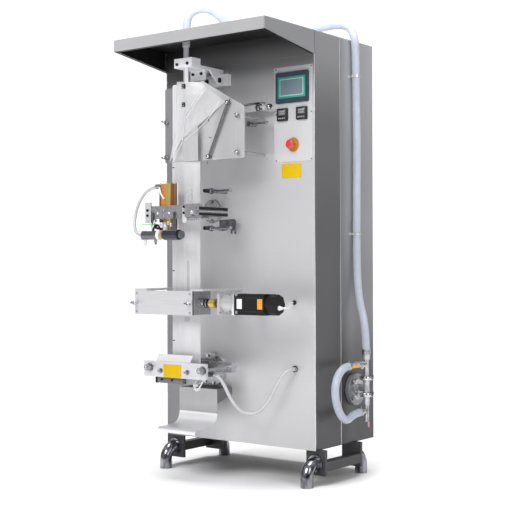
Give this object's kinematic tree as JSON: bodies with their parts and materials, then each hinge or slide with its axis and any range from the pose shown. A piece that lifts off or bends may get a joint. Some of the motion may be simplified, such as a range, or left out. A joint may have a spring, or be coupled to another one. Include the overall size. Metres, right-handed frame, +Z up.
{
  "type": "liquid packing machine",
  "caption": "Upright sachet filling and sealing machine: sheet steel cabinet, hooded film former, heated seal jaws, pull rollers, side pump with clear hoses, curved feet.",
  "frame": {"origin": "middle of the machine's outline on the floor, hoses and cables left out", "axes": "+Z up, -Y towards the film former and operator's side, +X towards the pump's side"},
  "size_m": [0.9574, 0.82, 2.065],
  "materials": {
    "sheet_steel": "fine satin grain",
    "former_steel": "satin",
    "machined_steel": "ground",
    "bright_chrome": "polished",
    "black_paint": "semi-matte",
    "panel_grey": "satin",
    "dark_plastic": "matte",
    "red_plastic": "gloss",
    "yellow_plastic": "matte",
    "copper_block": "machined",
    "film": "soft sheen",
    "clear_hose": "clear",
    "grey_conduit": "ribbed",
    "black_cable": "matte",
    "roller_rubber": "matte",
    "cast_grey": "cast",
    "orange_grip": "gloss"
  },
  "bodies": {
    "machine": {"front_panel": "sheet_steel", "left_side_panel": "sheet_steel", "right_side_panel": "sheet_steel", "right_service_panel": "sheet_steel", "back_panel": "sheet_steel", "top_panel": "sheet_steel", "base_panel": "sheet_steel", "hood": "sheet_steel", "side_frames": "black_paint", "curved_feet": "bright_chrome", "control_panel": "panel_grey", "touch_screen": "dark_plastic", "temperature_controllers": "dark_plastic", "emergency_stop_base": "yellow_plastic", "former_plate": "former_steel", "former_carrier": "former_steel", "former_rods": "bright_chrome", "film_turning_bar": "bright_chrome", "filling_tube": "bright_chrome", "tube_bracket": "machined_steel", "film_sleeve": "film", "folded_film": "film", "film_web": "film", "guide_roller_brackets": "machined_steel", "vertical_seal_mount": "machined_steel", "clamp_levers": "bright_chrome", "roller_clamp_lever": "bright_chrome", "hose_clips": "bright_chrome", "pull_roller_housing": "machined_steel", "pull_unit_arms": "machined_steel", "gearbox": "cast_grey", "gearbox_bracket": "machined_steel", "drive_motor": "black_paint", "cross_seal_mount": "machined_steel", "rear_jaw": "machined_steel", "discharge_chute": "sheet_steel", "chute_support": "sheet_steel", "pump_base": "machined_steel", "pump_body": "bright_chrome", "pipe_clamps": "bright_chrome", "valve_body": "machined_steel", "product_hose": "clear_hose", "loop_hose": "clear_hose", "jaw_conduit": "grey_conduit", "motor_cable": "grey_conduit", "cable_glands": "black_cable"},
    "stop_button": {"emergency_stop_button": "red_plastic"},
    "vertical_seal_carriage": {"vertical_seal_frame": "machined_steel", "vertical_heater": "copper_block", "pressing_cylinders": "machined_steel", "heater_conduit": "grey_conduit"},
    "front_jaw_carriage": {"front_jaw_plate": "machined_steel", "front_jaw": "machined_steel", "jaw_guide_rods": "bright_chrome", "film_scoop": "sheet_steel"},
    "guide_roller": {"film_guide_roller": "bright_chrome"},
    "drive_roller": {"drive_roller": "roller_rubber"},
    "pinch_roller": {"pinch_roller": "roller_rubber"},
    "valve_lever": {"valve_lever": "orange_grip"}
  },
  "joints": [
    {"name": "emergency_stop_push", "type": "slide", "parent": "machine", "child": "stop_button", "axis": [0, 1, 0], "range_m": [0, 0.006], "stiffness_N_per_m": 1200},
    {"name": "vertical_seal_slide", "type": "slide", "parent": "machine", "child": "vertical_seal_carriage", "axis": [0, 1, 0], "range_m": [0, 0.03]},
    {"name": "cross_jaw_slide", "type": "slide", "parent": "machine", "child": "front_jaw_carriage", "axis": [0, 1, 0], "range_m": [0, 0.016]},
    {"name": "guide_roller_turn", "type": "hinge", "parent": "machine", "child": "guide_roller", "pos_m": [-0.03875, -0.102, 1.609], "axis": [1, 0, 0], "continuous": true},
    {"name": "drive_roller_turn", "type": "hinge", "parent": "machine", "child": "drive_roller", "pos_m": [-0.03875, -0.285, 0.769], "axis": [1, 0, 0], "continuous": true},
    {"name": "pinch_roller_turn", "type": "hinge", "parent": "machine", "child": "pinch_roller", "pos_m": [-0.03875, -0.235, 0.769], "axis": [1, 0, 0], "continuous": true},
    {"name": "valve_lever_turn", "type": "hinge", "parent": "machine", "child": "valve_lever", "pos_m": [0.44075, 0.18, 0.497], "axis": [1, 0, 0], "range_deg": [0, 90]}
  ]
}
